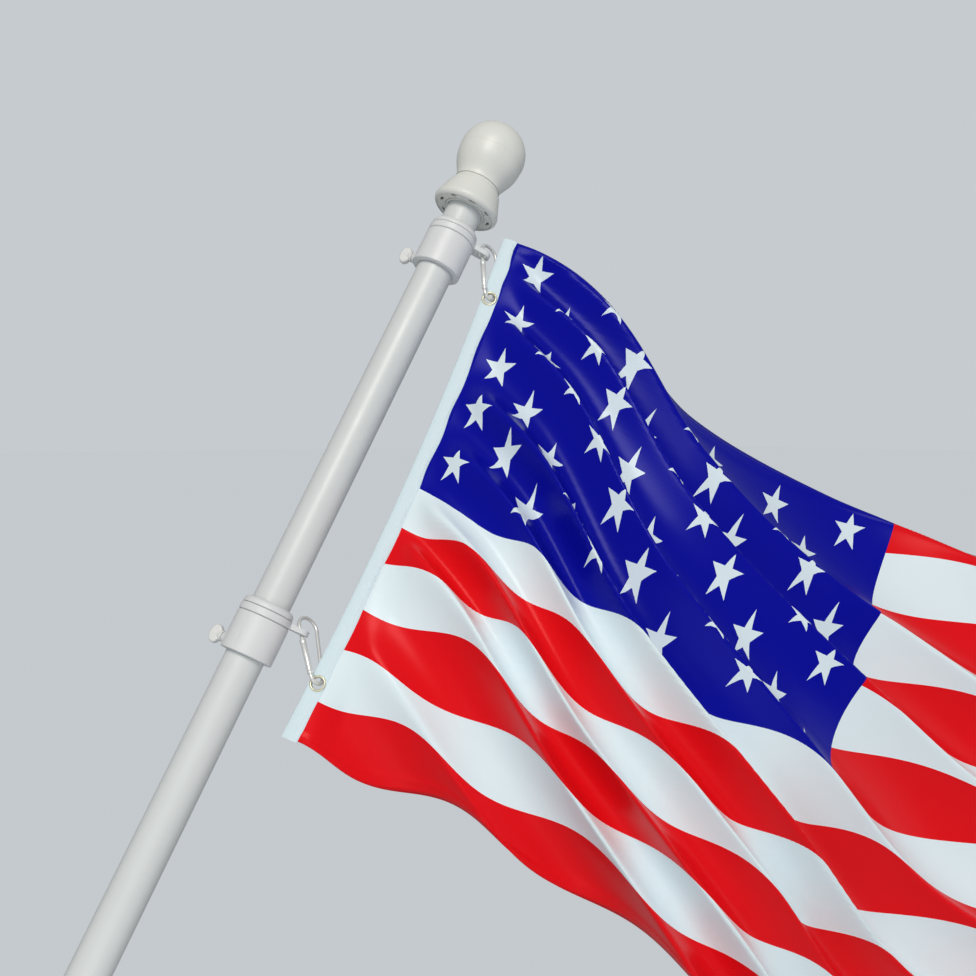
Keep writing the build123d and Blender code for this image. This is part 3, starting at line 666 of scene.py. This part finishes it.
def printedSatin():
    # dyed polyester satin: smooth, soft highlights along the folds; threads 0.25 mm apart are drawn at
    # 0.8 mm to show
    material, tree, shader = startMaterial("printedPolyesterSatin")
    shader.inputs["Roughness"].default_value = 0.28
    shader.inputs["IOR"].default_value = 1.45
    shader.inputs["Specular IOR Level"].default_value = 0.26
    uv = addNode(tree, "ShaderNodeUVMap", {"uv_map": "cloth"})
    parts = addNode(tree, "ShaderNodeSeparateXYZ", links={"Vector": uv.outputs["UV"]})
    # the map is in metres of cut cloth
    across, downward = parts.outputs["X"], parts.outputs["Y"]
    wide, deep = pattern["cantonWide"] * mm, hoist * pattern["cantonShare"] * mm
    stripe = maths(tree, "FLOOR", maths(tree, "MULTIPLY", downward, pattern["stripes"] / (hoist * mm)))
    isWhite = maths(tree, "MODULO", stripe, 2.0)
    inCanton = maths(tree, "MULTIPLY", maths(tree, "LESS_THAN", across, wide),
                     maths(tree, "LESS_THAN", downward, deep))
    column = maths(tree, "MULTIPLY", across, pattern["halfColumns"] / wide)
    row = maths(tree, "MULTIPLY", downward, pattern["halfRows"] / deep)
    stars = maths(tree, "MAXIMUM", starField(tree, column, row, 1.0), starField(tree, column, row, 2.0))
    stripes = mixed(tree, isWhite, pattern["red"], pattern["white"])
    canton = mixed(tree, stars, pattern["blue"], pattern["starWhite"])
    dye = mixed(tree, inCanton, stripes, canton)
    tree.links.new(dye, shader.inputs["Base Color"])
    # light that glances through dyed threads takes some of their colour
    tree.links.new(mixed(tree, 0.3, dye, "#FFFFFF"), shader.inputs["Specular Tint"])
    weaveBump(tree, shader, uv, spacing=0.8, strength=0.15, depth=0.06)
    return material


def wovenTape():
    # doubled polyester canvas: matt, plain weave of coarse threads, drawn 0.9 mm apart to show
    material, tree, shader = startMaterial("wovenHeadingTape")
    shader.inputs["Base Color"].default_value = linear("#D6E8F0")
    shader.inputs["Roughness"].default_value = 0.7
    shader.inputs["Sheen Weight"].default_value = 0.15
    uv = addNode(tree, "ShaderNodeUVMap", {"uv_map": "cloth"})
    weaveBump(tree, shader, uv, spacing=0.9, strength=0.5, depth=0.12)
    return material


satin, tapeCanvas = printedSatin(), wovenTape()


def gridOnFlag(ts, ss, surface):
    # a grid whose lines lie at ts and ss on the surface, mapped in metres of cloth
    bm = bmesh.new()
    bmesh.ops.create_grid(bm, x_segments=len(ts) - 1, y_segments=len(ss) - 1, size=0.5)
    grid = np.array([v.co for v in bm.verts])
    t = np.interp((grid[:, 0] + 0.5) * (len(ts) - 1), np.arange(len(ts)), ts)
    s = np.interp((0.5 - grid[:, 1]) * (len(ss) - 1), np.arange(len(ss)), ss)
    printed = printAt(t, s)
    uv = bm.loops.layers.uv.new("cloth")
    for f in bm.faces:
        for loop in f.loops:
            loop[uv].uv = (t[loop.vert.index] * mm, printed[loop.vert.index] * mm)
    for v, at in zip(bm.verts, inWorld(surface(t, s))):
        v.co = at
    return bm, t, s


def makeCloth():
    # one thin sheet, twice as thick where it is hemmed; its lines step down just beside the hems
    hem, flyHem, fly, beside = flag["hem"], flag["flyHem"], flag["fly"], flag["besideHem"]
    near = 0.1
    hemLines = np.array([0, 2, 4, hem])
    flyLines = np.array([flyHem, 8, 4, 0])
    ts = np.concatenate([np.linspace(flag["start"], fly - flyHem - beside, flag["columns"]), fly - flyLines])
    ss = np.concatenate([hemLines, np.linspace(hem + beside, hoist - hem - beside, flag["rows"]),
                         hoist - hemLines[::-1]])
    bm, t, s = gridOnFlag(ts, ss, clothAt)
    doubled = (s < hem + near) | (s > hoist - hem - near) | (t > fly - flyHem - near)
    weights = bm.verts.layers.deform.verify()
    for v, hemmed in zip(bm.verts, doubled):
        v[weights][0] = 1.0 if hemmed else flag["thick"] / flag["hemThick"]
    bmesh.ops.recalc_face_normals(bm, faces=bm.faces)
    cloth = makeObject(bm, "flagCloth", satin)
    cloth.data.shade_smooth()
    cloth.vertex_groups.new(name="hem")
    body = cloth.modifiers.new("thickness", "SOLIDIFY")
    body.thickness = flag["hemThick"] * mm
    body.vertex_group = "hem"
    body.offset = 0
    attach(cloth, "flag_and_upper_ring")
    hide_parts("flag_cloth")
    return cloth


def makeTape():
    def rolled(turn, s):
        # a flat tube: round at both edges, a little crowned between
        c, n = np.cos(turn), np.sin(turn)
        places = tapeAt(tapeWide(s) / 2 * (1 - np.sign(c) * np.abs(c) ** tape["edgeRound"]), s)
        places[:, 2] = tapeHalf(s) * np.sign(n) * np.abs(n) ** tape["crown"]
        return places

    around, downs = np.linspace(0, 2 * pi, tape["around"] + 1), np.linspace(0, hoist, tape["rows"])
    bm = gridOnFlag(around, downs, rolled)[0]
    uv = bm.loops.layers.uv["cloth"]
    for f in bm.faces:
        for loop in f.loops:  # the map's turns become metres across the tape
            loop[uv].uv.x = tape["wide"] / 2 * mm * (1 - cos(loop[uv].uv.x / mm))
    bmesh.ops.remove_doubles(bm, verts=bm.verts, dist=0.02 * mm)
    bmesh.ops.holes_fill(bm, edges=[e for e in bm.edges if e.is_boundary], sides=0)
    bmesh.ops.recalc_face_normals(bm, faces=bm.faces)
    heading = makeObject(bm, "headingTape", tapeCanvas)
    punches = []
    for eye in (upperEye, lowerEye):
        bm = bmesh.new()
        bmesh.ops.create_cone(bm, cap_ends=True, segments=48, radius1=tape["hole"], radius2=tape["hole"],
                              depth=8)
        bmesh.ops.transform(bm, verts=bm.verts, matrix=placing(eye, out, face))
        punches.append(makeObject(bm, "punch", tapeCanvas))
    cutAway(heading, punches)
    settle(heading, "flag_and_upper_ring", 50)
    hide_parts("flag_header")
    return heading


# Eyelets, pressed over the tape with their lips rolled back: half a section, (radius, height), mm
eyeletLip = [(3.8, 0.7), (3.92, 1.05), (4.25, 1.32), (4.65, 1.4), (5.0, 1.28), (5.32, 1.0), (5.4, 0.72),
             (4.5, 0.7), (4.4, 0.5)]


def makeEyelet(name, eye, node):
    bm = bmesh.new()
    spun(bm, eyeletLip + [(r, -z) for r, z in eyeletLip[::-1]], 64, closed=True)
    bmesh.ops.transform(bm, verts=bm.verts, matrix=placing(eye, out, face))
    ring = finishPiece(bm, name, paleBrass, "flag_and_upper_ring")
    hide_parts(node)
    return ring


# Stitches, in mm: the flag is hemmed all round and sewn into its heading tape
stitch = {"pitch": 3.0, "long": 1.15, "wide": 0.24, "high": 0.2, "fromTop": 4, "fromFoot": 3, "fromTape": 5,
          "fromFly": 3, "inHem": 1, "flyRows": (2, 10.8), "tapeRows": (8.6, 6.9), "clearOfEye": 6.6,
          "fullness": 0.95, "bedded": 0.1}


def stitchRow(bm, surface, t, s, step, lift):
    # one small bead of thread on each side for each place, lying the way that step leads
    here = surface(t, s)
    ahead = (surface(t + step[0], s + step[1]) - here) @ flagAxes
    normal = np.cross(surface(t + 0.5, s) - here, surface(t, s + 0.5) - here) @ flagAxes
    spots = inWorld(here)
    printed = printAt(t, s)
    lift = np.broadcast_to(lift, len(t))
    shape = Matrix.Diagonal((stitch["long"], stitch["wide"], stitch["high"], 1))
    atOnce = 20  # in short runs, which a bmesh handles fastest
    for first in range(0, len(t), atOnce):
        run = bmesh.new()
        uv = run.loops.layers.uv.new("cloth")
        for k in range(first, min(first + atOnce, len(t))):
            x = Vector(ahead[k]).normalized()
            z = Vector(normal[k]).normalized()
            for facing in (1, -1):
                at = placing(Vector(spots[k]) + z * facing * lift[k] * mm, x, z) @ shape
                made = bmesh.ops.create_uvsphere(run, u_segments=6, v_segments=4, radius=1, matrix=at)
                for v in made["verts"]:
                    for loop in v.link_loops:
                        loop[uv].uv = (t[k] * mm, printed[k] * mm)
        addTo(bm, run)


def startStitches():
    bm = bmesh.new()
    bm.loops.layers.uv.new("cloth")
    return bm


def makeStitches():
    # the hems' thread is printed with the cloth, so it takes the colour under it
    pitch, onHem = stitch["pitch"], flag["hemThick"] / 2
    alongFly, downHoist = (0.5, 0.0), (0.0, 0.5)
    downs = np.arange(stitch["fromTop"], hoist - stitch["fromFoot"], pitch)
    outs = np.arange(flag["start"] + stitch["fromTape"], flag["fly"] - stitch["fromFly"], pitch)
    bm = startStitches()
    for s in (flag["hem"] - stitch["inHem"], hoist - flag["hem"] + stitch["inHem"]):
        stitchRow(bm, clothAt, outs, np.full(len(outs), s), alongFly, onHem)
    for inFly in stitch["flyRows"]:
        stitchRow(bm, clothAt, np.full(len(downs), flag["fly"] - inFly), downs, downHoist, onHem)
    hems = finishPiece(bm, "hemStitches", satin, "flag_and_upper_ring", 80)
    clear = [abs(downs - eye) > stitch["clearOfEye"] for eye in eyesDown]
    s = downs[clear[0] & clear[1]]
    onTape = stitch["fullness"] * tapeHalf(s) - stitch["bedded"]  # the beads sink a little into the tape
    bm = startStitches()
    for w in stitch["tapeRows"]:
        stitchRow(bm, tapeAt, np.full(len(s), w), s, downHoist, onTape)
    rows = finishPiece(bm, "headingStitches", sewingThread, "flag_and_upper_ring", 80)
    return hems, rows


cloth = makeCloth()
heading = makeTape()
eyelets = [makeEyelet("upperEyelet", upperEye, "upper_grommet"),
           makeEyelet("lowerEyelet", lowerEye, "lower_grommet")]
hems, rows = makeStitches()
print("flag made")

# Stage: a wide painted floor in a plain pale room
stage = {"floor": "#C6CBCF", "half": 60, "below": 2, "evenness": 0.97, "fill": "#ECEFF2",
         "fillStrength": 0.39}


def makeStage():
    bm = bmesh.new()
    bmesh.ops.create_grid(bm, x_segments=1, y_segments=1, size=stage["half"])
    bmesh.ops.translate(bm, verts=bm.verts, vec=(0, 0, boxLow.z - stage["below"] * mm))
    material, tree, shader = startMaterial("paintedFloor")
    shader.inputs["Base Color"].default_value = linear(stage["floor"])
    shader.inputs["Roughness"].default_value = 0.9
    # to the camera the floor is mostly its own colour, so that it stays even; it still takes shadows
    rays = addNode(tree, "ShaderNodeLightPath")
    even = addNode(tree, "ShaderNodeEmission", {"Color": linear(stage["floor"]), "Strength": 1.0})
    share = maths(tree, "MULTIPLY", rays.outputs["Is Camera Ray"], stage["evenness"])
    both = addNode(tree, "ShaderNodeMixShader", links={0: share, 1: shader.outputs[0], 2: even.outputs[0]})
    output = [node for node in tree.nodes if node.type == "OUTPUT_MATERIAL"][0]
    tree.links.new(both.outputs[0], output.inputs["Surface"])
    makeObject(bm, "floor", material)


def makeWorld():
    world = bpy.data.worlds.new("studio")
    bpy.context.scene.world = world
    world.use_nodes = True
    sky = world.node_tree
    sky.nodes.clear()
    rays = addNode(sky, "ShaderNodeLightPath")
    fill = addNode(sky, "ShaderNodeBackground",
                   {"Color": linear(stage["fill"]), "Strength": stage["fillStrength"]})
    seen = addNode(sky, "ShaderNodeBackground", {"Color": linear(stage["floor"]), "Strength": 1.0})
    which = addNode(sky, "ShaderNodeMixShader", links={0: rays.outputs["Is Camera Ray"], 1: fill.outputs[0],
                                                         2: seen.outputs[0]})
    addNode(sky, "ShaderNodeOutputWorld", links={"Surface": which.outputs[0]})


# Camera, where the photograph was taken from: place in metres, heading from the y axis and pitch from level
# in degrees, lens and sensor in mm
view = {"place": (0.3524, -0.6627, 1.2389), "heading": -37.19, "pitch": -3.025, "lens": 42.56, "sensor": 36}
# Lamps: place, what each points at, width in metres, watts, colour and how wide it spreads in degrees
lamps = {
    "key": ((-1.2, -2.4, 3.8), (0.9, -0.1, 1.15), 1.4, 94, "#FFFBF4", 180),
    "fillLamp": ((2.8, -2.6, 0.8), (0.8, 0, 1.2), 2.4, 14, "#F8FAFF", 180),
    "lowLamp": ((-0.6, -1.2, 0.5), (0.84, 0, 1.42), 1.2, 4.5, "#FFFFFF", 180),
    "bracketLamp": ((-0.5, -2.1, 0.9), (0.08, 0, 0.08), 1.0, 1.3, "#FFFFFF", 60)}


def makeCamera():
    camera = bpy.data.objects.new("camera", bpy.data.cameras.new("camera"))
    camera.data.lens = view["lens"]
    camera.data.sensor_width = view["sensor"]
    camera.data.clip_start = 0.01
    camera.location = view["place"]
    camera.rotation_euler = (radians(90 + view["pitch"]), 0, radians(view["heading"]))
    bpy.context.scene.collection.objects.link(camera)
    bpy.context.scene.camera = camera


def addLamp(name, place, target, size, watts, colour, spread):
    lamp = bpy.data.objects.new(name, bpy.data.lights.new(name, "AREA"))
    lamp.data.size = size
    lamp.data.energy = watts
    lamp.data.spread = radians(spread)
    lamp.data.color = linear(colour)[:3]
    lamp.location = place
    lamp.rotation_euler = (Vector(target) - Vector(place)).to_track_quat("-Z", "Y").to_euler()
    bpy.context.scene.collection.objects.link(lamp)


makeStage()
makeWorld()
makeCamera()
for name, settings in lamps.items():
    addLamp(name, *settings)
bpy.context.scene.view_settings.view_transform = "Standard"
print("stage, lamps and camera set")
